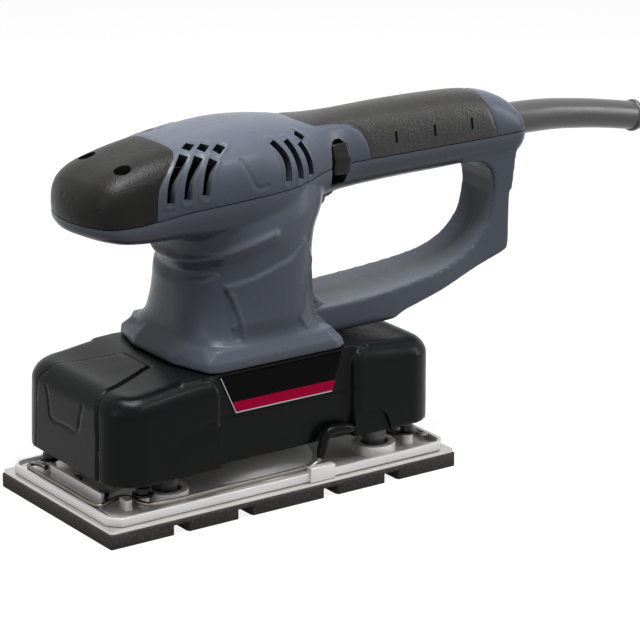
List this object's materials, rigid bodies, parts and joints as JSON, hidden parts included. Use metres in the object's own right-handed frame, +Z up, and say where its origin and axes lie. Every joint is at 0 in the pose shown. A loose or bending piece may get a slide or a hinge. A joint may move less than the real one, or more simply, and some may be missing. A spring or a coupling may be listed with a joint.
{
  "type": "orbital finishing sander",
  "caption": "Corded orbital finishing sander with a closed D handle, rectangular foam pad on a cast platen, wire paper clamps, side rocker switch and cord strain relief.",
  "frame": {"origin": "centre of the sanding pad's lower face", "axes": "+X from the nose to the cord end, +Y to the side away from the switch, +Z up along the motor's axis"},
  "size_m": [0.4012, 0.117, 0.2054],
  "materials": {
    "slate_housing": "satin moulded",
    "nose_rubber": "fine matt texture",
    "grip_rubber": "fine matt texture",
    "boot_rubber": "smooth matt",
    "skirt_plastic": "fine spark-eroded grain",
    "nameplate": "black film with a plain crimson stripe",
    "cast_aluminium": "die cast, bead blasted",
    "plate_aluminium": "rolled sheet",
    "foam": "closed-cell, cut edges",
    "bearing_steel": "ground",
    "copper": "varnished copper",
    "lamination": "stacked sheet",
    "carbon": "pressed carbon",
    "black_plastic": "moulded",
    "spring_wire": "drawn spring wire",
    "lever_sleeve": "dipped vinyl",
    "black_screw": "black oxide",
    "column_rubber": "moulded"
  },
  "bodies": {
    "housing": {"lower_housing": "slate_housing", "upper_housing": "slate_housing", "nose_cap": "nose_rubber", "handle_grip": "grip_rubber", "cord_boot": "boot_rubber", "skirt_cover": "skirt_plastic", "nameplate_near": "nameplate", "nameplate_far": "nameplate", "base_frame": "cast_aluminium", "lower_bearing": "bearing_steel", "base_screw_rear_far": "black_screw", "base_screw_rear_near": "black_screw", "base_screw_front_far": "black_screw", "base_screw_front_near": "black_screw", "support_column_front_near": "column_rubber", "support_column_front_far": "column_rubber", "support_column_rear_near": "column_rubber", "support_column_rear_far": "column_rubber", "stator_core": "lamination", "field_coil_front": "copper", "field_coil_rear": "copper", "brush_holder_front": "black_plastic", "carbon_brush_front": "carbon", "brush_holder_rear": "black_plastic", "carbon_brush_rear": "carbon", "upper_bearing_bracket": "black_plastic", "upper_bearing": "bearing_steel", "switch_body": "black_plastic", "capacitor": "black_plastic", "cord_clamp": "black_plastic", "nose_screw_near": "black_screw", "nose_screw_far": "black_screw", "handle_screw": "black_screw"},
    "armature": {"armature_shaft": "bearing_steel", "armature_core": "lamination", "winding_head_lower": "copper", "winding_head_upper": "copper", "commutator": "copper", "cooling_fan": "black_plastic", "counterweight": "bearing_steel"},
    "platen": {"foam_pad": "foam", "backing_plate": "plate_aluminium", "platen_casting": "cast_aluminium", "eccentric_bearing": "bearing_steel", "clamp_screw_front_near": "black_screw", "clamp_screw_rear_far": "black_screw", "clamp_screw_front_far": "black_screw", "clamp_screw_rear_near": "black_screw", "plate_screw_rear_far": "black_screw", "plate_screw_rear_near": "black_screw", "plate_screw_front_far": "black_screw", "plate_screw_front_near": "black_screw"},
    "front_clamp": {"front_clamp_wire": "spring_wire", "front_clamp_sleeve": "lever_sleeve"},
    "rear_clamp": {"rear_clamp_wire": "spring_wire", "rear_clamp_sleeve": "lever_sleeve"},
    "rocker": {"switch_rocker": "black_plastic"}
  },
  "joints": [
    {"name": "armature_spin", "type": "hinge", "parent": "housing", "child": "armature", "pos_m": [0, 0, 0.1], "axis": [0, 0, 1], "continuous": true},
    {"name": "platen_orbit", "type": "hinge", "parent": "armature", "child": "platen", "pos_m": [0.001, 0, 0.025], "axis": [0, 0, 1], "continuous": true, "deforming": ["support_column_front_near", "support_column_front_far", "support_column_rear_near", "support_column_rear_far"]},
    {"name": "front_clamp_lift", "type": "hinge", "parent": "platen", "child": "front_clamp", "pos_m": [-0.086, 0, 0.0165], "axis": [0, -1, 0], "range_deg": [0, 5]},
    {"name": "rear_clamp_lift", "type": "hinge", "parent": "platen", "child": "rear_clamp", "pos_m": [0.086, 0, 0.0165], "axis": [0, 1, 0], "range_deg": [0, 5]},
    {"name": "switch_rock", "type": "hinge", "parent": "housing", "child": "rocker", "pos_m": [0.061, -0.0135, 0.1774], "axis": [1, 0, 0], "range_deg": [0, 16]}
  ],
  "couplings": [
    {"joint": "platen_orbit", "follows": "armature_spin", "ratio": -1}
  ]
}
